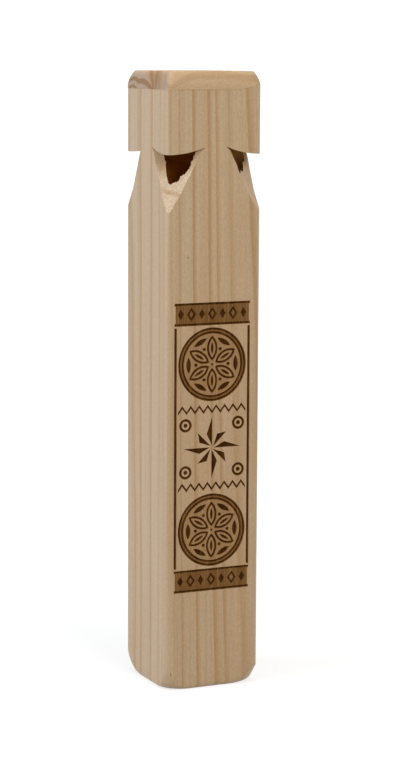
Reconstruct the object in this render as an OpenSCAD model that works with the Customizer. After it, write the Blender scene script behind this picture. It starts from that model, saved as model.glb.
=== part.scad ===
// A wooden chime whistle that is blown at one end: a square block with four blind bores,
// a sound window cut across each corner, a fipple plug in each bore and a glued mouth cap.
// It stands on its closed end, centred on the Z axis, with its wide plain face towards -Y.

/* [Block] */
// Side of the square block
block_side = 31.75; // [30:0.25:36]
// Whole length of the whistle, with its cap
whistle_length = 190.5; // [180:0.5:205]
// Radius of the four long edges
long_edge_r = 2.2; // [1:0.1:3]

/* [Closed end] */
// Height of the sanded rounding around the closed end
end_rise = 9.6; // [6:0.2:12]
// How far that rounding draws in each side
end_side_inset = 0.1; // [0.05:0.05:1.2]
// Radius between each side and the end face
end_side_r = 1.4; // [0.4:0.1:2]
// How far that rounding draws in each corner
end_corner_inset = 2.7; // [1.5:0.1:3.5]
// Radius between each corner and the end face
end_corner_r = 3.5; // [2:0.1:4]

/* [Mouth cap] */
// Thickness of the cap glued over the bores
cap_thickness = 5.5; // [4.5:0.1:7]
// How far the cap stands proud of the block on each side
cap_overhang = 0.1; // [0:0.05:0.4]
// How far the rounding draws in each side of the cap
cap_side_inset = 1.6; // [1:0.1:2.2]
// How far the rounding draws in each corner of the cap
cap_corner_inset = 2.2; // [1.5:0.1:3]
// Radius between the rounding and the cap's flat top
cap_top_r = 0.4; // [0.2:0.1:0.6]
// Diameter of the blow hole
blow_hole_d = 9.5; // [8:0.1:11]

/* [Bores] */
// Diameter of each bore
bore_d = 12.7; // [12:0.1:13]
// Depths of the four bores below the cap: front left, front right, back right, back left
bore_depths = [173, 147, 125, 107]; // [90:1:178]
// Diameter of the air chamber that joins the bores under the cap
chamber_d = 22.2; // [18:0.2:24]
// Depth of that air chamber
chamber_depth = 3.2; // [2:0.1:4]

/* [Sound windows] */
// Drop from the cap to the roof of each window, at the corner
window_drop = 19.5; // [18:0.1:23]
// Height of each window from its roof to the foot of its ramp
window_height = 17.2; // [15:0.1:19]
// Depth of each window at its roof, square to the corner
window_depth = 8.2; // [7.5:0.1:8.6]
// Radii of the four curved roofs, in the order of the bores
roof_r = [17.5, 17.5, 17.5, 60]; // [15:0.5:80]
// Height above the foot where the ramp steepens
ramp_break_height = 6; // [4:0.2:8]
// Depth of the ramp there
ramp_break_depth = 3.9; // [3.4:0.1:4.2]

/* [Fipple plugs] */
// Glue gap around each plug
plug_gap = 0.02; // [0.01:0.01:0.05]
// Height of the windway left by the flat on each plug
windway_h = 1.6; // [1:0.1:2]

/* [Hidden] */
$fn = 96;
pine = [0.71, 0.60, 0.47];
cap_pine = [0.75, 0.63, 0.49];
birch = [0.80, 0.68, 0.50];
block_top = whistle_length - cap_thickness;
bore_offset = block_side / 4;
sharp_corner = block_side / sqrt(2);
chamber_floor = block_top - chamber_depth;
roof_z = block_top - window_drop;
foot_z = roof_z - window_height;
break_z = foot_z + ramp_break_height;
ramp_top_z = roof_end_z(0);
edge_depth = long_edge_r * (sqrt(2) - 1);
slack = 1;
round_lead = 0.12;

// Which way each bore lies from the axis, in the order of bore_depths
quadrants = [[-1, -1], [1, -1], [1, 1], [-1, 1]];

// Height of a window's roof where its ramp meets it
function roof_end_z(i) = roof_z + roof_r[i] - sqrt(pow(roof_r[i], 2) - pow(window_depth, 2));

// Square with four rounded corners, centred
module rounded_square(side, r) {
    square([side, side - 2 * r], center = true);
    square([side - 2 * r, side], center = true);
    for (q = quadrants)
        translate(q * (side / 2 - r)) circle(r = r);
}

// Strip outside one arc, from the end face up to a height
module outside_arc(from_x, to_x, height, centre, r) {
    difference() {
        translate([from_x, -slack]) square([to_x - from_x, height + slack]);
        translate(centre) circle(r = r);
    }
}

// What the rounding of an end takes off a side: a long arc, then an edge radius
module end_waste(reach, rise, inset, edge_r) {
    start_x = reach + round_lead;
    depth = inset + round_lead;
    arc_r = (rise * rise + depth * depth) / (2 * depth);
    arc_x = start_x - arc_r;
    edge_x = arc_x + sqrt(arc_r * arc_r - pow(rise - edge_r, 2)) - 0.9 * edge_r;
    outside_arc(start_x - depth, start_x + slack, rise, [arc_x, rise], arc_r);
    outside_arc(edge_x, start_x + slack, edge_r, [edge_x, edge_r], edge_r);
}

// Square block standing on an end that is rounded along its sides and round its corners
module softened_block(side, length, rise, side_inset, side_r, corner_inset, corner_r) {
    corner_reach = (side / 2 - long_edge_r) * sqrt(2) + long_edge_r;
    difference() {
        linear_extrude(length) rounded_square(side, long_edge_r);
        for (turn = [0 : 90 : 270])
            rotate(turn) rotate([90, 0, 0])
                linear_extrude(2 * side, center = true)
                    end_waste(side / 2, rise, side_inset, side_r);
        rotate_extrude() end_waste(corner_reach, rise, corner_inset, corner_r);
    }
}

// Side view of a window: a hollow ramp below, the cutter's arc above, depth along +X
module window_profile(i) {
    low_slope = (ramp_break_depth - edge_depth) / ramp_break_height;
    high_slope = (window_depth - ramp_break_depth) / (ramp_top_z - break_z);
    top_z = ramp_top_z + slack;
    difference() {
        polygon([
            [-3, break_z - (ramp_break_depth + 3) / low_slope],
            [ramp_break_depth, break_z],
            [window_depth + slack * high_slope, top_z],
            [-3, top_z]
        ]);
        translate([0, roof_z + roof_r[i]]) circle(r = roof_r[i]);
    }
}

// Cut across one corner of the block
module window_cut(i) {
    rotate(atan2(quadrants[i][1], quadrants[i][0]))
        translate([sharp_corner, 0, 0]) mirror([1, 0, 0]) rotate([90, 0, 0])
            linear_extrude(2 * block_side, center = true) window_profile(i);
}

module whistle_body() {
    color(pine) difference() {
        softened_block(block_side, block_top, end_rise, end_side_inset, end_side_r,
            end_corner_inset, end_corner_r);
        for (i = [0 : 3]) {
            translate(concat(quadrants[i] * bore_offset, block_top - bore_depths[i]))
                cylinder(d = bore_d, h = bore_depths[i] + slack);
            window_cut(i);
        }
        translate([0, 0, chamber_floor]) cylinder(d = chamber_d, h = chamber_depth + slack);
    }
}

module mouth_cap() {
    cap_side = block_side + 2 * cap_overhang;
    color(cap_pine) difference() {
        translate([0, 0, whistle_length]) mirror([0, 0, 1])
            softened_block(cap_side, cap_thickness, cap_thickness,
                cap_side_inset, cap_top_r, cap_corner_inset, cap_top_r);
        translate([0, 0, block_top - slack])
            cylinder(d = blow_hole_d, h = cap_thickness + 2 * slack);
    }
}

// Round plug with a flat towards its corner, from the window's roof to the air chamber
module fipple_plug(i) {
    plug_r = bore_d / 2 - plug_gap;
    plug_length = chamber_floor - roof_end_z(i);
    flat_x = bore_d / 2 - windway_h;
    color(birch) translate(concat(quadrants[i] * bore_offset, roof_end_z(i)))
        rotate(atan2(quadrants[i][1], quadrants[i][0]))
            difference() {
                cylinder(r = plug_r, h = plug_length);
                translate([flat_x, -bore_d, -slack])
                    cube([bore_d, 2 * bore_d, plug_length + 2 * slack]);
            }
}

module fipple_plug_front_left() { fipple_plug(0); }
module fipple_plug_front_right() { fipple_plug(1); }
module fipple_plug_back_right() { fipple_plug(2); }
module fipple_plug_back_left() { fipple_plug(3); }

whistle_body();
mouth_cap();
fipple_plug_front_left();
fipple_plug_front_right();
fipple_plug_back_right();
fipple_plug_back_left();
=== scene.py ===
"""Looks of a wooden chime whistle: a pine block with corner windows, a burned ornament and a glued cap.

Meshes are worked out in millimetres, in the frame of the solids, and scaled to metres at the end.
"""

import math

import bmesh
import bpy
from mathutils import Matrix, Vector, noise


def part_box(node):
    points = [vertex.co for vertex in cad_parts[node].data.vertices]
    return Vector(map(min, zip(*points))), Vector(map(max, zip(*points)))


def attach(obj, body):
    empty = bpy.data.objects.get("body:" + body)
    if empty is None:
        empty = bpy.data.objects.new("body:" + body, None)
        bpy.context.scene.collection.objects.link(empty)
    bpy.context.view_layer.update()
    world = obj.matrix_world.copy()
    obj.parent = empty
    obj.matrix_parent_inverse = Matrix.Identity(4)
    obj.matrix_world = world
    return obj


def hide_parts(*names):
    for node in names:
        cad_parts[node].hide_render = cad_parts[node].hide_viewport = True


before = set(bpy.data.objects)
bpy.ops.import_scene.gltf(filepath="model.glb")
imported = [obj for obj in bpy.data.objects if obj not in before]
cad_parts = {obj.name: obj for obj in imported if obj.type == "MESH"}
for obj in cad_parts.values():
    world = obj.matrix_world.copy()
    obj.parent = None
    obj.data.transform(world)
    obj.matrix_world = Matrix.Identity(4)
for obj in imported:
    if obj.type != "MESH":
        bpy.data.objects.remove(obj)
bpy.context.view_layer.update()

MM = 0.001
# Corners, and which way each lies from the axis
CORNERS = ("front_left", "front_right", "back_right", "back_left")
QUADRANTS = ((-1, -1), (1, -1), (1, 1), (-1, 1))

# Sizes read from the solids, in millimetres
body_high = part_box("whistle_body")[1]
cap_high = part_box("mouth_cap")[1]
plug_boxes = [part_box(f"fipple_plug_{corner}") for corner in CORNERS]
BLOCK_HALF = body_high.x / MM
BLOCK_TOP = body_high.z / MM
CAP_HALF = cap_high.x / MM
CAP_TOP = cap_high.z / MM
PLUG_END_Z = [low.z / MM for low, high in plug_boxes]
CHAMBER_FLOOR = plug_boxes[0][1].z / MM

# Sizes that the solids' boxes don't give, in millimetres
LONG_EDGE_R = 2.2
BORE_R = 6.35
BORE_DEPTHS = (173, 147, 125, 107)
CHAMBER_R = 11.1
BLOW_HOLE_R = 4.75
WINDOW_DROP = 19.5
WINDOW_HEIGHT = 17.2
# Radius of each window's roof; the back left one was cut nearly flat
ROOF_R = (17.5, 17.5, 17.5, 60)

# Rounding of the closed end: radius along its sides, then for each corner the radius in plan
# that it was sanded to, the height where that starts, and 1 for a bevel or 2 for a rounding
END_EDGE_R = 1.45
END_CORNERS = ((7.5, 6.0, 2), (9.0, 5.2, 1), (10.0, 7.0, 2), (12.2, 7.0, 2))
END_RISE = 8.0
# Rounding of the cap
CAP_RISE = 5.3
CAP_INSET = 1.72
CAP_CORNER_R = 2.0
# Its brim: how far it starts below the top, then for each row the inset, the loss of corner radius and
# the drop below the top
CAP_BRIM_DROP = 0.12
CAP_BRIM = ((0.2, 0.2, 0.03), (0.5, 0.3, 0.0), (0.6, 0.3, 0.0))
# Rounding of the blow hole's rim
HOLE_LIP = 0.5


class Nodes:
    """Short way to add and join the nodes of one material or world."""

    def __init__(self, owner):
        owner.use_nodes = True
        self.tree = owner.node_tree
        self.tree.nodes.clear()

    def feed(self, socket, value):
        if isinstance(value, bpy.types.NodeSocket):
            self.tree.links.new(value, socket)
        else:
            socket.default_value = value

    def add(self, kind, inputs=None, **settings):
        node = self.tree.nodes.new(kind)
        for name, value in settings.items():
            setattr(node, name, value)
        for key, value in (inputs or {}).items():
            self.feed(node.inputs[key], value)
        return node

    def math(self, operation, a, b=0.0):
        return self.add("ShaderNodeMath", {0: a, 1: b}, operation=operation).outputs[0]

    def vector_math(self, operation, a, b):
        return self.add("ShaderNodeVectorMath", {0: a, 1: b}, operation=operation).outputs[0]

    def parts(self, vector):
        return self.add("ShaderNodeSeparateXYZ", {0: vector}).outputs

    def noise(self, vector, detail=2.0, roughness=0.5):
        values = {"Vector": vector, "Scale": 1.0, "Detail": detail, "Roughness": roughness}
        return self.add("ShaderNodeTexNoise", values).outputs["Fac"]

    def ramp(self, value, low, high, to_low=0.0, to_high=1.0):
        values = {"Value": value, 1: low, 2: high, 3: to_low, 4: to_high}
        return self.add("ShaderNodeMapRange", values, interpolation_type="SMOOTHSTEP").outputs[0]

    def mix(self, factor, a, b, blend="MIX"):
        node = self.add("ShaderNodeMix", data_type="RGBA", blend_type=blend)
        self.feed(node.inputs[0], factor)
        self.feed(node.inputs[6], a)
        self.feed(node.inputs[7], b)
        return node.outputs[2]


# Camera, floor and light

CAMERA_AZIMUTH = math.radians(-24.57)
CAMERA_DISTANCE = 0.7152
CAMERA_HEIGHT = 0.1963
AIM_HEIGHT = 0.0934
AIM_RIGHT = 0.0027
CAMERA_ROLL = math.radians(0.27)
SENSOR_HEIGHT = 36.0
LENS = 108.3

# Light of the surroundings, and how bright they and the floor are where they are seen
WORLD_STRENGTH = 0.40
SEEN_WHITE = 1.1
FLOOR_HALF = 3.0
FLOOR_MATT = 0.6
# Share of light and shade in the floor that is seen, and the distances between which it fades away
SHADOW_SHARE = 0.35
SHADOW_NEAR = 0.06
SHADOW_FAR = 0.20

# Lamps: place, size, power and colour
LAMPS = (
    ("key_front", (0.17, -1.09, 0.74), 0.50, 6.85, (1.0, 0.975, 0.91)),
    ("fill_left", (-1.00, 0.10, 0.42), 0.90, 7.55, (0.90, 0.975, 1.10)),
    ("top", (0.0, -0.15, 1.30), 0.60, 4.2, (1.0, 1.0, 1.0)),
)
LAMP_AIM = Vector((0, 0, 0.1))


def facing(place, aim):
    """Matrix of something that stands at a place and looks at a point."""
    turn = (aim - place).to_track_quat("-Z", "Y").to_matrix().to_4x4()
    return Matrix.Translation(place) @ turn


def make_camera():
    """Camera at the photograph's angle, aimed a little to the right of the whistle's axis."""
    data = bpy.data.cameras.new("photo_camera")
    data.sensor_fit = "VERTICAL"
    data.sensor_height = SENSOR_HEIGHT
    data.lens = LENS
    camera = bpy.data.objects.new("photo_camera", data)
    bpy.context.scene.collection.objects.link(camera)
    away = Vector((math.sin(CAMERA_AZIMUTH), -math.cos(CAMERA_AZIMUTH), 0))
    right = Vector((math.cos(CAMERA_AZIMUTH), math.sin(CAMERA_AZIMUTH), 0))
    place = away * CAMERA_DISTANCE + Vector((0, 0, CAMERA_HEIGHT))
    aim = right * AIM_RIGHT + Vector((0, 0, AIM_HEIGHT))
    camera.matrix_world = facing(place, aim) @ Matrix.Rotation(CAMERA_ROLL, 4, "Z")
    bpy.context.scene.camera = camera


def seen_directly(n):
    """1 for a ray from the camera or a mirror-like bounce, else 0."""
    path = n.add("ShaderNodeLightPath").outputs
    seen = n.math("MAXIMUM", path["Is Camera Ray"], path["Is Glossy Ray"])
    return n.math("MAXIMUM", seen, path["Is Transmission Ray"])


def make_world():
    """Even white surroundings, pure white where they are seen directly."""
    world = bpy.data.worlds.new("studio")
    bpy.context.scene.world = world
    n = Nodes(world)
    strength = n.ramp(seen_directly(n), 0.0, 1.0, WORLD_STRENGTH, SEEN_WHITE)
    back = n.add("ShaderNodeBackground", {"Color": (1, 1, 1, 1), "Strength": strength})
    n.add("ShaderNodeOutputWorld", {"Surface": back.outputs[0]})


def make_floor():
    """Floor that is seen as white, with a faint shadow of the whistle."""
    mesh = bpy.data.meshes.new("floor")
    corners = [(x * FLOOR_HALF, y * FLOOR_HALF, 0) for x, y in QUADRANTS]
    mesh.from_pydata(corners, [], [(0, 1, 2, 3)])
    floor = bpy.data.objects.new("floor", mesh)
    bpy.context.scene.collection.objects.link(floor)
    material = bpy.data.materials.new("floor_white")
    n = Nodes(material)
    seen = seen_directly(n)
    place = n.add("ShaderNodeTexCoord").outputs["Object"]
    away = n.add("ShaderNodeVectorMath", {0: place}, operation="LENGTH").outputs["Value"]
    matt = n.add("ShaderNodeBsdfDiffuse", {"Color": n.ramp(seen, 0.0, 1.0, FLOOR_MATT, 1.0)})
    white = n.add("ShaderNodeEmission", {"Color": (1, 1, 1, 1), "Strength": SEEN_WHITE})
    share = n.math("MULTIPLY", seen, n.ramp(away, SHADOW_NEAR, SHADOW_FAR, 1.0 - SHADOW_SHARE, 1.0))
    both = n.add("ShaderNodeMixShader", {0: share, 1: matt.outputs[0], 2: white.outputs[0]})
    n.add("ShaderNodeOutputMaterial", {"Surface": both.outputs[0]})
    mesh.materials.append(material)


def make_lamps():
    """Soft square lamps that all face the whistle."""
    for name, place, size, power, colour in LAMPS:
        data = bpy.data.lights.new(name, "AREA")
        data.size = size
        data.energy = power
        data.color = colour
        lamp = bpy.data.objects.new(name, data)
        bpy.context.scene.collection.objects.link(lamp)
        lamp.matrix_world = facing(Vector(place), LAMP_AIM)


# Wood

# The block's pith at its closed end, just behind its back right corner, and its lean per mm
BODY_PITH = (20.5, 18.5)
BODY_LEAN = (0.009, -0.0192)
# Middle and size of the burned ornament on the front face
ORNAMENT_X = -0.6
ORNAMENT_Z = 75.8
ORNAMENT_W = 25.0
ORNAMENT_H = 89.4
# Its rosettes and end bands, each way from its middle
ROSETTE_UP = 25.8
ROSETTE_R = 11.2
BAND_UP = 41.4
BAND_HALF = 3.1
# Latewood lines of the block: distance from the pith, width and strength
BODY_RINGS = (
    (48.0, 0.6, 0.35),
    (46.1, 0.6, 0.65),
    (42.85, 1.0, 1.0),
    (39.5, 1.0, 0.9),
    (37.9, 0.7, 0.8),
    (35.7, 1.0, 0.5),
    (33.0, 0.75, 0.9),
    (29.6, 0.9, 0.8),
    (26.2, 1.0, 1.0),
    (22.4, 0.9, 0.8),
    (18.7, 1.1, 1.0),
    (14.6, 1.0, 0.8),
    (10.5, 0.9, 0.9),
)
# Small dark specks in the block's wood: place, half width and half length along the grain
SPECKS = (((-8.9, -15.9, 134.6), 0.27, 0.38), ((-14.2, -15.7, 5.4), 0.18, 0.8))
# The cap's grain runs along X; its rings are scalloped: Y, Z and radius of each hump, and how much
# wider the rings inside it lie apart
CAP_HUMPS = ((10.2, 180.5, 7.95, 1.0), (4.3, 170.2, 17.8, 1.4))
# Latewood bands of the cap: distance outside the humps, width and strength
CAP_RINGS = ((-0.1, 0.95, 0.9), (2.15, 1.2, 0.95), (9.65, 0.8, 0.25))
# Distance outside the humps where the cap's wood turns paler
CAP_PALE = 9.65
# How the cap's rings bow along the grain, to the left and right of where they are lowest
CAP_BOW_X = -3.7
CAP_BOW_LEFT = 0.0145
CAP_BOW_RIGHT = 0.0015
# Resin streaks across the cap's grain: Y at the seam, lean, curve and strength
CAP_STREAKS = ((-6.0, 0.45, 0.11, 0.8), (-8.0, 0.43, 0.0, 0.75), (-10.2, 0.1, 0.1, 0.45))
STREAK_HALF = 0.5
STREAK_SPREAD = 0.25
RING_EDGE = 0.25
RING_SWAY = 0.3

EARLYWOOD = (0.444, 0.312, 0.176, 1)
LATEWOOD = (0.35, 0.193, 0.056, 1)
CAP_EARLYWOOD = (0.48, 0.324, 0.178, 1)
CAP_LATEWOOD = (0.285, 0.13, 0.025, 1)
# Wood of the windows' ramps: these colours stand for the painted shade under the roofs, and a tint makes
# them paler below it
CUT_EARLYWOOD = (0.48, 0.305, 0.16, 1)
CUT_LATEWOOD = (0.42, 0.247, 0.117, 1)
# The front left window's torn wood is lighter than the cut wood, partly from its torn fibres and partly as
# painted light
TORN_EARLYWOOD = (0.575, 0.40, 0.236, 1)
TORN_LATEWOOD = (0.51, 0.34, 0.185, 1)
# Bore walls: their own dark colour, and a paler colour that paints the light falling on them through a
# window
BORE_DARK = (0.40, 0.127, 0.008, 1)
BORE_LIT = (0.95, 0.52, 0.14, 1)
BIRCH = (0.55, 0.40, 0.24, 1)
BIRCH_LINE = (0.45, 0.30, 0.16, 1)
# Tints that the wood takes in its blotches, fibres, streaks and flecks, and the colour of torn pores
BLOTCH_TINT = (1.02, 0.94, 0.88, 1)
FIBRE_TINT = (0.84, 0.76, 0.62, 1)
STREAK_TINT = (0.92, 0.84, 0.70, 1)
FLECK_TINT = (0.75, 0.72, 0.67, 1)
PORE = (0.42, 0.28, 0.15, 1)
# Tints of the block's and the cap's end grain
END_TINT = (0.72, 0.68, 0.64, 1)
CAP_END_TINT = (0.79, 0.85, 1.03, 1)
# Height and tint of a line of painted shade along the crease where two saw cuts meet in the front left
# window, where it has that height in X, and how much it tilts for each mm beyond
CREASE_Z = 154.4
CREASE_SHADE_TINT = (0.80, 0.64, 0.57, 1)
CREASE_X = -13.3
CREASE_TILT = 0.25


def stretched(n, place, across, along):
    """Place scaled so that a texture runs out along the grain."""
    return n.vector_math("MULTIPLY", place, (across, across, along))


def grain_place(n, along):
    """Place in mm with the grain along the third axis, and the two axes across it first."""
    place = n.add("ShaderNodeTexCoord").outputs["Object"]
    place = n.vector_math("MULTIPLY", place, (1 / MM, 1 / MM, 1 / MM))
    if along == "X":
        parts = n.parts(place)
        turned = {0: parts["Y"], 1: parts["Z"], 2: parts["X"]}
        place = n.add("ShaderNodeCombineXYZ", turned).outputs[0]
    return place


def swayed(n, place, reach):
    """A distance across the grain, swaying gently along it."""
    sway = n.math("SUBTRACT", n.noise(stretched(n, place, 0.05, 0.02), 1.0), 0.5)
    return n.math("ADD", reach, n.math("MULTIPLY", sway, 2 * RING_SWAY))


def distance(n, place, centre, lean=(0, 0)):
    """Distance across the grain from a centre that leans along it."""
    parts = n.parts(place)
    offset = n.add("ShaderNodeCombineXYZ")
    for k in (0, 1):
        shift = n.math("MULTIPLY_ADD", parts["Z"], -lean[k])
        shift.node.inputs[2].default_value = -centre[k]
        n.feed(offset.inputs[k], n.math("ADD", parts[k], shift))
    return n.add("ShaderNodeVectorMath", {0: offset.outputs[0]}, operation="LENGTH").outputs["Value"]


def latewood(n, reach, rings, even=0.0):
    """Latewood, from 0 to 1: it darkens outwards across each line's width and stops short.

    Even is the share of the width that has the full strength.
    """
    total = 0.0
    for radius, width, strength in rings:
        rise = n.ramp(reach, radius - width, radius - width * even, 0.0, strength)
        fall = n.ramp(reach, radius, radius + RING_EDGE, 1.0, 0.0)
        total = n.math("ADD", n.math("MULTIPLY", rise, fall), total)
    return total


def block_rings(n, place):
    """Rings of the block, round a pith that leans."""
    return latewood(n, swayed(n, place, distance(n, place, BODY_PITH, BODY_LEAN)), BODY_RINGS)


def cap_reach(n, place):
    """Distance outside the cap's scalloped rings, which bow along the grain."""
    parts = n.parts(place)
    reach = 1000.0
    for y, z, radius, spread in CAP_HUMPS:
        gap = n.math("SUBTRACT", distance(n, place, (y, z)), radius)
        gap = n.math("MAXIMUM", gap, n.math("DIVIDE", gap, spread))
        reach = n.math("MINIMUM", gap, reach)
    along = n.math("SUBTRACT", parts["Z"], CAP_BOW_X)
    for operation, bow in (("MINIMUM", CAP_BOW_LEFT), ("MAXIMUM", CAP_BOW_RIGHT)):
        side = n.math(operation, along, 0.0)
        reach = n.math("ADD", reach, n.math("MULTIPLY", n.math("MULTIPLY", side, side), bow))
    return swayed(n, place, reach)


def resin_streaks(n, place, inner, outer):
    """The cap's resin streaks, which widen upwards and fade between two distances in half widths."""
    parts = n.parts(place)
    height = n.math("SUBTRACT", parts["Y"], BLOCK_TOP)
    half = n.math("ADD", n.math("MULTIPLY", height, STREAK_SPREAD), STREAK_HALF)
    total = 0.0
    for foot, lean, curve, strength in CAP_STREAKS:
        slope = n.math("ADD", n.math("MULTIPLY", height, curve), lean)
        line = n.math("ADD", n.math("MULTIPLY", height, slope), foot)
        gap = n.math("ABSOLUTE", n.math("SUBTRACT", parts["X"], line))
        total = n.math("MAXIMUM", n.ramp(n.math("DIVIDE", gap, half), inner, outer, strength, 0.0), total)
    return total


def resin_stain(n, place):
    """Mask of the wood round the resin streaks, which the resin has yellowed."""
    return resin_streaks(n, place, 1.0, 4.0)


def cap_rings(n, place):
    """Rings of the cap, with its resin streaks."""
    rings = latewood(n, cap_reach(n, place), CAP_RINGS, 0.6)
    return n.math("MAXIMUM", rings, resin_streaks(n, place, 0.4, 1.6))


def cap_pale_and_highlight(n, place):
    """Paler wood outside the cap's last ring and, more so, a painted highlight along its rounded top edge.
    """
    outside = n.ramp(cap_reach(n, place), CAP_PALE - 0.4, CAP_PALE + 1.2, 0.0, 0.6)
    edge = n.ramp(n.parts(place)["Y"], CAP_TOP - 1.6, CAP_TOP - 0.5)
    return n.math("MAXIMUM", outside, edge)


def pale_below_roof_shade(low, high, climb=0.0):
    """Mask of paler wood below a height, which gives way raggedly above another to a painted shade cast by
    the window's roof.

    Both heights climb towards the right of the front left window.
    """
    def pale(n, place):
        parts = n.parts(place)
        ragged = n.math("MULTIPLY", n.math("SUBTRACT", n.noise(stretched(n, place, 0.9, 0.9)), 0.5), 3.0)
        rightwards = n.math("MAXIMUM", n.math("SUBTRACT", parts["X"], parts["Y"]), 0.0)
        height = n.math("SUBTRACT", parts["Z"], n.math("MULTIPLY", rightwards, climb))
        return n.ramp(n.math("ADD", height, ragged), low, high, 1.0, 0.0)
    return pale


def sanded_edges_and_sheen(first, second):
    """Mask of the upright edges, which were sanded round, from the two axes that lie across them; their
    paler, bluer tint is partly sanded wood and partly a painted sheen.
    """
    def edges(n, place):
        parts = n.parts(place)
        across = [n.math("ABSOLUTE", parts[k]) for k in (first, second)]
        return n.ramp(n.math("MINIMUM", *across), BLOCK_HALF - 2.6, BLOCK_HALF - 0.8)
    return edges


def toasted(n, place):
    """Wood of the front face warmed by the burning of the ornament, unevenly along its fibres."""
    parts = n.parts(place)
    up = n.math("ABSOLUTE", n.math("SUBTRACT", parts["Z"], ORNAMENT_Z))
    near = n.ramp(up, ORNAMENT_H / 2 - 8, ORNAMENT_H / 2 + 4, 1.0, 0.0)
    front = n.ramp(parts["Y"], 1.2 - BLOCK_HALF, 0.2 - BLOCK_HALF, 0.0, 1.0)
    uneven = n.ramp(n.noise(stretched(n, place, 0.25, 0.03)), 0.3, 0.7, 0.4, 1.0)
    return n.math("MULTIPLY", n.math("MULTIPLY", near, front), uneven)


def painted_bore_light(n, place):
    """Share of painted light in the bores: the right side of the right-hand ones, near their windows, where
    light through the window falls on the wall.
    """
    parts = n.parts(place)
    return n.math("MULTIPLY", n.ramp(parts["X"], 9.2, 12.2), n.ramp(parts["Z"], 155.0, 159.0))


def specks(n, place):
    """Mask of the small dark specks in the block's wood."""
    total = 0.0
    for middle, half_width, half_length in SPECKS:
        offset = n.vector_math("SUBTRACT", place, middle)
        offset = n.vector_math("DIVIDE", offset, (half_width, half_width, half_length))
        reach = n.add("ShaderNodeVectorMath", {0: offset}, operation="LENGTH").outputs["Value"]
        total = n.math("MAXIMUM", n.ramp(reach, 0.5, 1.3, 1.0, 0.0), total)
    return total


def crease_shade(n, place, height):
    """Mask of the painted shade along the crease, which wobbles a little round its height."""
    parts = n.parts(place)
    wobble = n.math("MULTIPLY", n.noise(stretched(n, place, 0.4, 0.0)), 0.8)
    tilt = n.math("MULTIPLY", n.math("SUBTRACT", parts["X"], CREASE_X), CREASE_TILT)
    gap = n.math("ADD", n.math("ADD", parts["Z"], wobble), n.math("SUBTRACT", tilt, height))
    return n.ramp(n.math("ABSOLUTE", gap), 0.1, 0.9, 0.6, 0.0)


def no_rings(n, place):
    """Wood too even to show rings."""
    return 0.0


def end_grain(n, along):
    """1 where the surface cuts straight across the grain, 0 along it."""
    normal = n.parts(n.add("ShaderNodeTexCoord").outputs["Normal"])
    return n.ramp(n.math("ABSOLUTE", normal[along]), 0.45, 0.9)


def make_wood(name, along, rings, early, late, rough=0.5, fuzz=0.0, shine=0.5, coat=0.0, dashes=0.4,
              tints=(), end_tint=END_TINT, crease=None):
    """Softwood with growth rings, fine fibre streaks, resin dashes and, where cut, torn fibres.

    Tints are pairs of a mask and a colour that the wood takes where the mask is 1, and across the grain it
    takes the end tint. A crease is the height of a line of painted shade where two saw cuts meet.
    """
    material = bpy.data.materials.new(name)
    n = Nodes(material)
    place = grain_place(n, along)
    ring = rings(n, place)
    fibre = n.noise(stretched(n, place, 2.6, 0.03), 4.0, 0.6)
    streak = n.noise(stretched(n, place, 0.55, 0.008))
    dash = n.ramp(n.noise(stretched(n, place, 3.2, 0.16), 1.0), 0.66, 0.76)
    fleck = n.noise(stretched(n, place, 4.5, 1.5), 2.0, 0.6)
    blotch = n.noise(stretched(n, place, 0.09, 0.03))
    colour = n.mix(ring, early, late)
    colour = n.mix(n.ramp(blotch, 0.3, 0.7, 0.0, 0.35), colour, BLOTCH_TINT, "MULTIPLY")
    colour = n.mix(n.ramp(fibre, 0.3, 0.75, 0.0, 0.5), colour, FIBRE_TINT, "MULTIPLY")
    colour = n.mix(n.ramp(streak, 0.4, 0.7, 0.0, 0.5), colour, STREAK_TINT, "MULTIPLY")
    colour = n.mix(n.ramp(fleck, 0.35, 0.65, 0.0, 0.6), colour, FLECK_TINT, "MULTIPLY")
    colour = n.mix(n.math("MULTIPLY", dash, dashes), colour, late)
    for mask, tint in tints:
        colour = n.mix(mask(n, place), colour, tint, "MULTIPLY")
    colour = n.mix(end_grain(n, along), colour, end_tint, "MULTIPLY")
    height = n.math("ADD", n.math("MULTIPLY", fibre, 0.6), n.math("MULTIPLY", ring, 0.25))
    depth = 0.04 * MM
    if fuzz:
        torn = n.noise(stretched(n, place, 2.2, 0.9), 3.0, 0.7)
        pores = n.ramp(n.noise(stretched(n, place, 2.6, 1.6)), 0.45, 0.70)
        colour = n.mix(n.math("MULTIPLY", pores, 0.5 * fuzz), colour, PORE)
        height = n.math("ADD", height, n.math("MULTIPLY", torn, 2.0))
        depth = 0.30 * MM * fuzz
    if crease:
        colour = n.mix(crease_shade(n, place, crease), colour, CREASE_SHADE_TINT, "MULTIPLY")
    bump = n.add("ShaderNodeBump", {"Strength": 0.7, "Distance": depth, "Height": height})
    shade = {
        "Base Color": colour,
        "Roughness": n.ramp(fibre, 0.2, 0.8, rough - 0.07, rough + 0.07),
        "Normal": bump.outputs[0],
        "IOR": 1.5,
        "Specular IOR Level": shine,
        "Coat Weight": coat,
        "Coat Roughness": 0.5,
        "Coat IOR": 1.5,
    }
    surface = n.add("ShaderNodeBsdfPrincipled", shade)
    n.add("ShaderNodeOutputMaterial", {"Surface": surface.outputs[0]})
    return material


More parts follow.
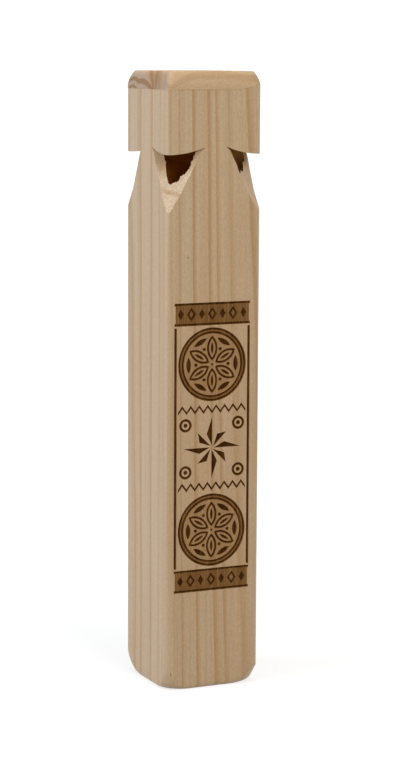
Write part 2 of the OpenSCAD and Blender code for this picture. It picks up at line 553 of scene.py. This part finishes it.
def make_burn(name, dark, light):
    """Charred floor or toasted wall of the burned ornament, paler along the fibres."""
    material = bpy.data.materials.new(name)
    n = Nodes(material)
    place = grain_place(n, "Z")
    fibre = n.noise(stretched(n, place, 3.0, 0.12), 3.0, 0.6)
    patch = n.noise(stretched(n, place, 0.3, 0.15))
    share = n.math("MULTIPLY", n.ramp(fibre, 0.35, 0.75), n.ramp(patch, 0.3, 0.7, 0.5, 1.0))
    share = n.math("ADD", share, n.math("MULTIPLY", block_rings(n, place), -0.3))
    colour = n.mix(n.math("MAXIMUM", share, 0.0), dark, light)
    bump = n.add("ShaderNodeBump", {"Strength": 0.7, "Distance": 0.06 * MM, "Height": fibre})
    shade = {
        "Base Color": colour,
        "Roughness": 0.9,
        "Normal": bump.outputs[0],
        "Specular IOR Level": 0.05,
    }
    surface = n.add("ShaderNodeBsdfPrincipled", shade)
    n.add("ShaderNodeOutputMaterial", {"Surface": surface.outputs[0]})
    return material


# Tints of the block: edges paler partly from sanding and partly from a painted sheen, wood toasted round
# the ornament, and dark specks
block_tints = (
    (sanded_edges_and_sheen(0, 1), (1.0, 1.02, 1.08, 1)),
    (toasted, (0.95, 0.89, 0.81, 1)),
    (specks, (0.35, 0.25, 0.20, 1)),
)
# Tints of the cap: paler wood outside its last ring with a painted highlight along its top edge, yellowed
# wood round the resin, and edges paler partly from sanding and partly from a painted sheen
cap_tints = (
    (cap_pale_and_highlight, (1.17, 1.21, 1.25, 1)),
    (resin_stain, (1.0, 0.82, 0.52, 1)),
    (sanded_edges_and_sheen(0, 2), (1.05, 1.08, 1.14, 1)),
)
# Ramps paler below and in a painted shade of the roof above; in the front left window the paler part is
# also its torn fibres
cut_shade_tints = ((pale_below_roof_shade(159.5, 165.5), (1.34, 1.57, 2.2, 1)),)
torn_pale_and_shade_tints = ((pale_below_roof_shade(156.5, 162.0, 0.4), (1.28, 1.48, 1.88, 1)),)
pine = make_wood("block_pine", "Z", block_rings, EARLYWOOD, LATEWOOD, coat=0.8, dashes=0.5,
                 tints=block_tints)
cut_pine = make_wood("cut_pine", "Z", block_rings, CUT_EARLYWOOD, CUT_LATEWOOD, rough=0.9, fuzz=0.5,
                     shine=0.2, tints=cut_shade_tints)
torn_pine = make_wood("torn_pine", "Z", block_rings, TORN_EARLYWOOD, TORN_LATEWOOD, rough=0.9, fuzz=1.0,
                      shine=0.2, tints=torn_pale_and_shade_tints, crease=CREASE_Z)
bore_pine = make_wood("bore_pine", "Z", painted_bore_light, BORE_DARK, BORE_LIT, rough=0.9, shine=0.0,
                      dashes=0.0)
cap_pine = make_wood("cap_pine", "X", cap_rings, CAP_EARLYWOOD, CAP_LATEWOOD, rough=0.6, coat=0.2,
                     dashes=0.12, tints=cap_tints, end_tint=CAP_END_TINT)
birch = make_wood("plug_birch", "Z", no_rings, BIRCH, BIRCH_LINE, rough=0.7, fuzz=0.3)
char = make_burn("char", (0.032, 0.010, 0.001, 1), (0.12, 0.050, 0.009, 1))
toast = make_burn("toast", (0.12, 0.048, 0.009, 1), (0.27, 0.125, 0.032, 1))
scorch = make_burn("scorch", (0.15, 0.070, 0.020, 1), (0.27, 0.150, 0.060, 1))
singe = make_burn("singe", (0.30, 0.170, 0.075, 1), (0.40, 0.255, 0.130, 1))


# Mesh helpers

# Points of a mesh that are closer than this are one point
SAME_POINT = 0.0005


def new_object(name, points, faces, materials, indices=None):
    """Object from points in mm, with its normals turned outwards."""
    mesh = bpy.data.meshes.new(name)
    mesh.from_pydata([tuple(p) for p in points], [], faces)
    for material in materials:
        mesh.materials.append(material)
    if indices:
        mesh.polygons.foreach_set("material_index", indices)
    work = bmesh.new()
    work.from_mesh(mesh)
    bmesh.ops.recalc_face_normals(work, faces=work.faces)
    work.to_mesh(mesh)
    work.free()
    piece = bpy.data.objects.new(name, mesh)
    bpy.context.scene.collection.objects.link(piece)
    return piece


def loft(rows, closed=False):
    """Quads between rows of equal length; a closed loft also joins its last row to its first."""
    count = len(rows[0])
    points = [p for row in rows for p in row]
    faces = []
    for r in range(len(rows) if closed else len(rows) - 1):
        low = r * count
        high = (r + 1) % len(rows) * count
        for i in range(count):
            j = (i + 1) % count
            faces.append((low + i, low + j, high + j, high + i))
    return points, faces


def capped(rows):
    """Loft whose first and last rows are filled."""
    points, faces = loft(rows)
    count = len(rows[0])
    faces.append(tuple(range(count)))
    faces.append(tuple(range(len(points) - count, len(points))))
    return points, faces


def rounded_row(half, radii, z, flat_steps=12, arc_steps=10):
    """Row of points round a square, from its back left corner on, with a radius for each corner."""
    row = []
    for k in range(4):
        turn = Matrix.Rotation(math.pi * (1 + k / 2), 2)
        low = radii[k - 1] - half
        high = half - radii[k]
        for i in range(flat_steps):
            row.append(turn @ Vector((half, low + (high - low) * i / flat_steps)))
        for i in range(arc_steps):
            angle = math.pi / 2 * i / arc_steps
            arc = Vector((math.cos(angle), math.sin(angle))) * radii[k]
            row.append(turn @ (Vector((high, high)) + arc))
    return [Vector((p.x, p.y, z)) for p in row]


def even_row(half, radius, z):
    """Row of points round a square whose corners are all alike."""
    return rounded_row(half, (radius,) * 4, z)


def circle_row(radius, z, steps, centre=(0, 0), start=0.0):
    """Row of points round a circle."""
    row = []
    for i in range(steps):
        angle = start + 2 * math.pi * i / steps
        x = centre[0] + radius * math.cos(angle)
        row.append(Vector((x, centre[1] + radius * math.sin(angle), z)))
    return row


def fade(value, low, high):
    """Smooth step from 0 at low to 1 at high."""
    share = min(max((value - low) / (high - low), 0.0), 1.0)
    return share * share * (3 - 2 * share)


def cut(piece, cutter):
    """Takes a cutter's shape out of a piece, with the cutter's materials on the new faces."""
    modifier = piece.modifiers.new("cut", "BOOLEAN")
    modifier.operation = "DIFFERENCE"
    modifier.solver = "MANIFOLD"
    modifier.material_mode = "TRANSFER"
    modifier.object = cutter
    with bpy.context.temp_override(object=piece, active_object=piece):
        bpy.ops.object.modifier_apply(modifier=modifier.name)
    bpy.data.objects.remove(cutter)


def finish_mesh(piece, sharp_degrees):
    """Joins points closer than any detail, scales a piece to metres and sets which edges stay sharp."""
    work = bmesh.new()
    work.from_mesh(piece.data)
    bmesh.ops.remove_doubles(work, verts=work.verts, dist=SAME_POINT)
    work.to_mesh(piece.data)
    work.free()
    piece.data.transform(Matrix.Scale(MM, 4))
    piece.data.shade_smooth()
    piece.data.set_sharp_from_angle(angle=math.radians(sharp_degrees))


# Block

# The block's sawn end climbs a little along its right side, from this X on and by this much for each
# mm, and the cap is cut to match
CLIMB_X = 7.8
CLIMB = 0.176
BORE_STEPS = 150
# How ragged the drill left each bore's lip in its window
TORN = (0.30, 0.06, 0.30, 0.30)
# Least wall that it left
THIN_WALL = 0.2
# Where the drill had wandered by the time it reached each window
BORE_DRIFT = ((0.2, -0.6), (-1.4, -1.5), (0, 0), (0, 0))
# Chips broken out of each bore's lip, or fibres left standing there where the depth is negative:
# first and last direction in degrees, depth
LIPS = (
    ((160, 192, -0.5), (204, 208, 0.5), (221, 227, 0.42), (268, 284, 0.1)),
    ((240, 258, -0.6), (305, 346, -0.95), (376, 392, 0.65)),
    ((30, 50, 0.3),),
    ((120, 140, 0.3),),
)
# Degrees over which these fade out at either end
LIP_FADE = 18
# Height of a row of points in the straight part of each bore
BORE_STRAIGHT = 100
# Heights where the drift starts and where it is whole; it ends under the plug
DRIFT_LOW = 138
DRIFT_HIGH = 150
# How far askew each window was sawn, in degrees
WINDOW_TURNS = (3, 2, 3, 3)
# Ramp of each window: height above its foot and depth from the sharp corner; a kerf ends it
RAMP_STRAIGHT = ((0, 0.93), (1.0, 1.16), (2.2, 1.52), (4.0, 2.36), (5.4, 3.07), (6.3, 3.25), (13.2, 5.80),
                 (18.0, 7.50), (19.4, 8.50))
RAMP_HOLLOW = ((0, 0.91), (6.0, 3.90), (12.0, 5.85), (18.0, 7.75), (19.4, 8.50))
RAMP_DEEP = ((0, 0.91), (6.0, 3.90), (12.0, 5.85), (14.7, 6.60), (18.4, 8.05), (19.75, 9.0))
RAMPS = (RAMP_STRAIGHT, RAMP_DEEP, RAMP_HOLLOW, RAMP_HOLLOW)
# Rise from point to point along each window's ramp, and steps across it
WINDOW_STEPS = ((0.4, 80), (0.8, 40), (0.8, 40), (0.8, 40))
# Half length of the cut that makes a window
WINDOW_REACH = 10.4
# Waves that the saw left in the ramps: depth, pace across and up, and a shift from window to window
SAW_WAVES = ((0.08, 0.5, 0.4, 7.3), (0.05, 1.6, 1.2, 3.1))
# Depth of the torn grain of the front left ramp
TORN_GRAIN = 0.07


def end_row(z, inset=0.0):
    """Row of the closed end at a height, drawn in by a further inset."""
    below = max(END_EDGE_R - z, 0)
    half = BLOCK_HALF - END_EDGE_R + math.sqrt(END_EDGE_R**2 - below**2) - inset
    radii = []
    for radius, rise, power in END_CORNERS:
        share = max(1 - z / rise, 0) ** power
        radii.append(LONG_EDGE_R + (radius - LONG_EDGE_R) * share - inset)
    return rounded_row(half, radii, z)


def block_rows():
    """Rows of the block from the flat closed end to the end that is still to be sawn."""
    steps = 8
    rows = [end_row(0, 1.0)]
    rows += [end_row(END_EDGE_R * (1 - math.cos(math.pi / 2 * i / steps))) for i in range(steps)]
    corner_steps = 14
    for i in range(corner_steps):
        rows.append(end_row(END_EDGE_R + (END_RISE - END_EDGE_R) * i / corner_steps))
    straight = 24
    rise = BLOCK_TOP + 2 - END_RISE
    for i in range(straight + 1):
        rows.append(even_row(BLOCK_HALF, LONG_EDGE_R, END_RISE + rise * i / straight))
    return rows


def seam_cutter(above):
    """What lies above the seam between block and cap, or below it."""
    far = 20.0
    margin = 5
    climbed = BLOCK_TOP + CLIMB * (far - CLIMB_X)
    end = BLOCK_TOP + (margin if above else -margin)
    profile = [(-far, BLOCK_TOP), (CLIMB_X, BLOCK_TOP), (far, climbed), (far, end), (-far, end)]
    if not above:
        started = CLIMB_X - margin / CLIMB
        profile = [(started, end), (far, climbed), (far, end)]
    rows = [[Vector((x, y, z)) for x, z in profile] for y in (-far, far)]
    return new_object("seam_cutter", *capped(rows), [pine if above else cap_pine])


def torn_offset(p, index):
    """Raggedness of a bore's wall, from long splinters and short chips."""
    splinter = noise.noise(Vector((p.x * 1.1, p.y * 1.1, p.z * 0.3)))
    chip = noise.noise(Vector((p.x * 2.7, p.y * 2.7, p.z * 1.1)))
    return TORN[index] * (0.6 * splinter + 0.8 * chip)


def lip_offset(turn, index):
    """How far chips widen a bore's lip in one direction, or standing fibres narrow it."""
    offset = 0.0
    for first, last, depth in LIPS[index]:
        middle = (first + last) / 2
        aside = abs((turn - middle + 180) % 360 - 180) - (last - first) / 2
        offset += depth * (1 - fade(aside, 0, LIP_FADE))
    return offset


def bore_cutter(index):
    """Bore that wanders a little and is torn where the window opens it."""
    sx, sy = QUADRANTS[index]
    centre = Vector((sx * BLOCK_HALF / 2, sy * BLOCK_HALF / 2, 0))
    drift = Vector((*BORE_DRIFT[index], 0))
    floor = BLOCK_TOP - BORE_DEPTHS[index]
    under_plug = PLUG_END_Z[index] - 0.1
    widest = BLOCK_HALF - THIN_WALL
    heights = [floor, BORE_STRAIGHT, DRIFT_LOW, (DRIFT_LOW + DRIFT_HIGH) / 2]
    fine = 60
    heights += [DRIFT_HIGH + (under_plug - DRIFT_HIGH) * i / fine for i in range(fine + 1)]
    rows = []
    for z in heights:
        middle = centre + drift * fade(z, DRIFT_LOW, DRIFT_HIGH)
        row = circle_row(BORE_R, z, BORE_STEPS, middle)
        if z >= DRIFT_HIGH:
            for i, p in enumerate(row):
                out = (p - middle - Vector((0, 0, z))).normalized()
                p += out * (torn_offset(p, index) + lip_offset(360 * i / BORE_STEPS, index))
                p.x = min(max(p.x, -widest), widest)
                p.y = min(max(p.y, -widest), widest)
        rows.append(row)
    rows.append(circle_row(BORE_R, PLUG_END_Z[index], BORE_STEPS, centre))
    rows.append(circle_row(BORE_R, BLOCK_TOP + 3, BORE_STEPS, centre))
    return new_object(f"bore_cutter_{index}", *capped(rows), [bore_pine])


def along_points(points, height):
    """Depth at a height, straight between the points of a ramp and beyond its ends."""
    pairs = list(zip(points, points[1:]))
    for (z0, d0), (z1, d1) in pairs:
        if height <= z1 or z1 == points[-1][0]:
            return d0 + (d1 - d0) * (height - z0) / (z1 - z0)


def window_profile(ramp, step, roof_r):
    """Outline of a window, depth and height: the ramp's points first, then the roof's."""
    roof_z = BLOCK_TOP - WINDOW_DROP
    foot_z = roof_z - WINDOW_HEIGHT
    end_depth = ramp[-1][1]
    highest = WINDOW_HEIGHT + roof_r - math.sqrt(roof_r**2 - end_depth**2)
    count = int(highest / step)
    heights = {-4.0, *(step * i for i in range(1, count)), *(p[0] for p in ramp)}
    heights = sorted({min(height, highest) for height in heights})
    lower = [(along_points(ramp, height), foot_z + height) for height in heights]
    roof = []
    steps = 8
    for i in range(1, steps + 1):
        depth = end_depth * (1 - i / steps)
        roof.append((depth, roof_z + roof_r - math.sqrt(roof_r**2 - depth**2)))
    outer = -4.0
    return lower, roof + [(outer, roof_z), (outer, lower[0][1])]


def ramp_unevenness(side, z, index):
    """How far the saw strayed from the ramp, and torn grain in the front left window."""
    uneven = 0.0
    for depth, across, up, shift in SAW_WAVES:
        uneven += depth * noise.noise(Vector((side * across, z * up, shift * index)))
    if index == 0:
        uneven += TORN_GRAIN * noise.noise(Vector((side * 2.9, z * 2.3, 1.7)))
    return uneven


def window_cutter(index):
    """Cut across one corner of the block, its ramp a little uneven from the saw."""
    rise, steps = WINDOW_STEPS[index]
    ramp, rest = window_profile(RAMPS[index], rise, ROOF_R[index])
    sx, sy = QUADRANTS[index]
    turn = Matrix.Rotation(math.radians(WINDOW_TURNS[index]), 3, "Z")
    inwards = turn @ Vector((-sx, -sy, 0)).normalized()
    across = Vector((0, 0, 1)).cross(inwards)
    corner = Vector((sx * BLOCK_HALF, sy * BLOCK_HALF, 0))
    rows = []
    for i in range(steps + 1):
        side = WINDOW_REACH * (2 * i / steps - 1)
        row = []
        for k, (depth, z) in enumerate(ramp + rest):
            if k < len(ramp) - 1:
                depth += ramp_unevenness(side, z, index)
            row.append(corner + inwards * depth + across * side + Vector((0, 0, z)))
        rows.append(row)
    surface = torn_pine if index == 0 else cut_pine
    return new_object(f"window_cutter_{index}", *capped(rows), [surface])


def chamber_cutter():
    """Air chamber that joins the bores under the cap."""
    rows = [circle_row(CHAMBER_R, z, 96) for z in (CHAMBER_FLOOR, BLOCK_TOP + 3)]
    return new_object("chamber_cutter", *capped(rows), [cut_pine])


# Burned ornament, in mm from its middle: across and up

BURN_DEPTH = 0.22
BURN_LEAD = 0.04
# How far its walls slope outwards for each mm of depth
BURN_SLOPE = 0.9
# Depth of its scorched grounds
SCORCH_DEPTH = 0.05
# Width of its lines
BURN_LINE = 0.45
# Rosette: how far its second ring lies inside the first, and the limits of its two grounds
RING_GAP = 1.1
SCORCH_RIM = (0.2, 1.2)
SINGE_RIM = 1.45
# Motifs of a rosette: distance from its middle, then length and width, or radius
PETAL_AT = 5.0
PETAL_OUTER = (7.4, 3.3)
PETAL_INNER = (6.2, 2.4)
PETAL_VEIN = (3.4, 0.6)
LEAF_AT = 7.9
LEAF = (4.6, 1.3)
DOT_AT = 5.4
DOT_R = 0.4
EYE_R = 0.25
# Diamonds of the end bands: pitch, then width and height
DIAMOND_PITCH = 3.5
DIAMOND_FULL = (1.8, 3.0)
DIAMOND_OUTER = (2.8, 4.0)
DIAMOND_INNER = (1.7, 2.4)
# Star: reach of its long and short points, where they start, and reach of the notches between them
STAR_POINTS = (9.2, 6.4)
STAR_START = 0.8
STAR_NOTCH = 4.4
# Small rings round the star: distance across and up, radius, and radius of the dot in each
RING_ACROSS = 8.9
RING_UP = 7.3
RING_R = 1.9
RING_DOT_R = 0.5
# Zigzags: height from the middle, half length, teeth and their rise
ZIGZAG_UP = 12.0
ZIGZAG_HALF = 11.4
ZIGZAG_TEETH = 8
ZIGZAG_RISE = 1.9
# Upright lines: distance from the middle and length
UPRIGHT_ACROSS = 12.3
UPRIGHT_H = 74.4


def placed(points, across, up, degrees=0.0):
    """Points turned and moved to a place in the ornament."""
    turn = Matrix.Rotation(math.radians(degrees), 2)
    middle = Vector((across, up))
    return [turn @ Vector(p) + middle for p in points]


def leaf(across, up, length, width, degrees):
    """Outline of a pointed leaf, wider by what it is asked to grow."""
    def outline(grow):
        a = length / 2 + 1.4 * grow
        b = width / 2 + grow
        r = (a * a + b * b) / (2 * b)
        half = math.asin(a / r)
        steps = 10
        top = []
        for i in range(steps):
            t = half * (2 * i / steps - 1)
            top.append((r * math.sin(t), r * math.cos(t) + b - r))
        return placed(top + [(-x, -y) for x, y in top], across, up, degrees)
    return outline


def bar(across, up, width, height):
    """Outline of a bar."""
    def outline(grow):
        x = width / 2 + grow
        y = height / 2 + grow
        return placed([(-x, -y), (x, -y), (x, y), (-x, y)], across, up)
    return outline


def diamond(across, up, width, height):
    """Outline of a diamond."""
    def outline(grow):
        x = width / 2 + 1.4 * grow
        y = height / 2 + 1.4 * grow
        return placed([(-x, 0), (0, -y), (x, 0), (0, y)], across, up)
    return outline


def disc(across, up, radius):
    """Outline of a disc."""
    steps = 72 if radius > 5 else 24

    def outline(grow):
        row = circle_row(radius + grow, 0, steps)
        return placed([p.xy for p in row], across, up)
    return outline


def zigzag(up, half, teeth, rise):
    """Outline of a zigzag line across the ornament."""
    def outline(grow):
        edge = []
        for i in range(2 * teeth + 1):
            edge.append((half * (i / teeth - 1), rise * (i % 2 - 0.5)))
        y = BURN_LINE / 2 + 1.4 * grow
        low = [(u, v - y) for u, v in edge]
        high = [(u, v + y) for u, v in reversed(edge)]
        return placed(low + high, 0, up)
    return outline


def star_half(across, up, inner, outer, side, degrees):
    """Outline of the dark half of one point of a star."""
    def outline(grow):
        tip = (outer + 2.0 * grow, -0.4 * grow)
        root = (inner - grow, -0.4 * grow)
        turn = math.radians(22.5)
        flank = ((side + 0.8 * grow) * math.cos(turn), (side + 0.8 * grow) * math.sin(turn))
        return placed([root, tip, flank], across, up, degrees)
    return outline


def burn_cutter(outlines, lines, depth, wall, ground):
    """One cutter for many motifs: sloping walls round a ground at a depth under the front face.

    Each of the lines is burned between an outer outline and an inner one.
    """
    points = []
    faces = []
    indices = []
    front = -BLOCK_HALF
    lead_grow = BURN_SLOPE * (depth + BURN_LEAD)

    def add_row(flat, y):
        start = len(points)
        points.extend((ORNAMENT_X + p.x, y, ORNAMENT_Z + p.y) for p in flat)
        return list(range(start, len(points)))

    def add_wall(a, b):
        for i in range(len(a)):
            j = (i + 1) % len(a)
            faces.append((a[i], a[j], b[j], b[i]))
            indices.append(0)

    for outline in outlines:
        mouth = add_row(outline(lead_grow), front - BURN_LEAD)
        floor = add_row(outline(0.0), front + depth)
        add_wall(mouth, floor)
        faces.append(tuple(mouth))
        indices.append(0)
        faces.append(tuple(floor))
        indices.append(1)
    for outer, inner in lines:
        out_mouth = add_row(outer(lead_grow), front - BURN_LEAD)
        out_floor = add_row(outer(0.0), front + depth)
        in_floor = add_row(inner(0.0), front + depth)
        in_mouth = add_row(inner(-lead_grow), front - BURN_LEAD)
        add_wall(out_mouth, out_floor)
        add_wall(out_floor, in_floor)
        indices[-len(out_floor):] = [1] * len(out_floor)
        add_wall(in_floor, in_mouth)
        add_wall(in_mouth, out_mouth)
    return new_object("burn_cutter", points, faces, [wall, ground], indices)


def around(up, reach, degrees):
    """Place at a distance from the middle of a motif."""
    angle = math.radians(degrees)
    return reach * math.cos(angle), up + reach * math.sin(angle)


def burned_ring(across, up, radius):
    """Circle burned as a line."""
    return disc(across, up, radius), disc(across, up, radius - BURN_LINE)


def rosette(up):
    """Six veined petals in a double ring, with leaves and dots between them."""
    outlines = [disc(0, up, EYE_R)]
    lines = [burned_ring(0, up, ROSETTE_R), burned_ring(0, up, ROSETTE_R - RING_GAP)]
    for k in range(6):
        angle = 60 * k + 30
        petal = around(up, PETAL_AT, angle)
        lines.append((leaf(*petal, *PETAL_OUTER, angle), leaf(*petal, *PETAL_INNER, angle)))
        outlines.append(leaf(*petal, *PETAL_VEIN, angle))
        outlines.append(leaf(*around(up, LEAF_AT, angle + 30), *LEAF, angle + 120))
        outlines.append(disc(*around(up, DOT_AT, angle + 30), DOT_R))
    return outlines, lines


def end_band(side):
    """Row of diamonds between two lines at one end of the ornament, burned full and as outlines in turn."""
    middle = side * BAND_UP
    outlines = [bar(0, middle + y * BAND_HALF, ORNAMENT_W, BURN_LINE) for y in (-1, 1)]
    lines = []
    for k in range(-3, 4):
        place = (DIAMOND_PITCH * k, middle)
        if k % 2:
            outlines.append(diamond(*place, *DIAMOND_FULL))
        else:
            lines.append((diamond(*place, *DIAMOND_OUTER), diamond(*place, *DIAMOND_INNER)))
    return outlines, lines


def star(up):
    """Star of eight points, each burned on one half, with four small double rings round it."""
    outlines = []
    lines = []
    for k in range(8):
        outlines.append(star_half(0, up, STAR_START, STAR_POINTS[k % 2], STAR_NOTCH, 45 * k))
    for x, y in QUADRANTS:
        middle = (x * RING_ACROSS, up + y * RING_UP)
        lines.append(burned_ring(*middle, RING_R))
        outlines.append(disc(*middle, RING_DOT_R))
    return outlines, lines


def scorch_cutter():
    """Scorched grounds of the end bands and between the rings of the rosettes."""
    bands = []
    rims = []
    for side in (-1, 1):
        up = side * ROSETTE_UP
        bands.append(bar(0, side * BAND_UP, ORNAMENT_W - BURN_LINE, 2 * BAND_HALF))
        rims.append([disc(0, up, ROSETTE_R - inset) for inset in SCORCH_RIM])
    return burn_cutter(bands, rims, SCORCH_DEPTH, scorch, scorch)


def singe_cutter():
    """Singed grounds inside the rosettes."""
    grounds = [disc(0, side * ROSETTE_UP, ROSETTE_R - SINGE_RIM) for side in (-1, 1)]
    return burn_cutter(grounds, [], SCORCH_DEPTH, singe, singe)


def ornament_cutter():
    """Star in the middle, then a zigzag, a rosette and a band each way, between two upright lines."""
    outlines, lines = star(0)
    for side in (-1, 1):
        for more in (rosette(side * ROSETTE_UP), end_band(side)):
            outlines += more[0]
            lines += more[1]
        outlines.append(zigzag(side * ZIGZAG_UP, ZIGZAG_HALF, ZIGZAG_TEETH, ZIGZAG_RISE))
        outlines.append(bar(side * UPRIGHT_ACROSS, 0, BURN_LINE, UPRIGHT_H))
    return burn_cutter(outlines, lines, BURN_DEPTH, toast, char)


def make_block():
    """Pine block with its bores, air chamber, corner windows and ornament."""
    block = new_object("pine_block", *capped(block_rows()), [pine])
    cut(block, seam_cutter(True))
    for index in range(4):
        cut(block, bore_cutter(index))
    cut(block, chamber_cutter())
    for index in range(4):
        cut(block, window_cutter(index))
    cut(block, scorch_cutter())
    cut(block, singe_cutter())
    cut(block, ornament_cutter())
    finish_mesh(block, 25)
    return block


# Cap


def make_cap():
    """Cap with its rounded edges and its blow hole."""
    rows = [even_row(CAP_HALF, LONG_EDGE_R, BLOCK_TOP)]
    steps = 12
    arc_r = (CAP_RISE**2 + CAP_INSET**2) / (2 * CAP_INSET)
    for i in range(steps + 1):
        rise = CAP_RISE * i / steps
        inset = arc_r - math.sqrt(arc_r**2 - rise**2)
        radius = LONG_EDGE_R + (CAP_CORNER_R - LONG_EDGE_R) * i / steps
        rows.append(even_row(CAP_HALF - inset, radius, CAP_TOP - CAP_RISE + rise - CAP_BRIM_DROP))
    top_half = CAP_HALF - CAP_INSET
    for inset, loss, drop in CAP_BRIM:
        rows.append(even_row(top_half - inset, CAP_CORNER_R - loss, CAP_TOP - drop))
    outer = rows[-1]
    count = len(outer)
    start = 3 * math.pi / 4
    mouth = circle_row(BLOW_HOLE_R + HOLE_LIP, CAP_TOP, count, start=start)
    for share in (0.4, 0.8, 1.0):
        rows.append([a.lerp(b, share) for a, b in zip(outer, mouth)])
    for i in range(1, 7):
        angle = math.pi / 2 * i / 6
        radius = BLOW_HOLE_R + HOLE_LIP * (1 - math.sin(angle))
        z = CAP_TOP - HOLE_LIP * (1 - math.cos(angle))
        rows.append(circle_row(radius, z, count, start=start))
    rows.append(circle_row(BLOW_HOLE_R, BLOCK_TOP, count, start=start))
    cap = new_object("pine_cap", *loft(rows, closed=True), [cap_pine])
    cut(cap, seam_cutter(False))
    finish_mesh(cap, 40)
    return cap


make_camera()
make_world()
make_floor()
make_lamps()

block = make_block()
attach(block, "root")
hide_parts("whistle_body")

cap = make_cap()
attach(cap, "root")
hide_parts("mouth_cap")

for name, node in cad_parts.items():
    if name.startswith("fipple_plug"):
        node.data.materials.clear()
        node.data.materials.append(birch)

bpy.context.scene.view_settings.view_transform = "Standard"
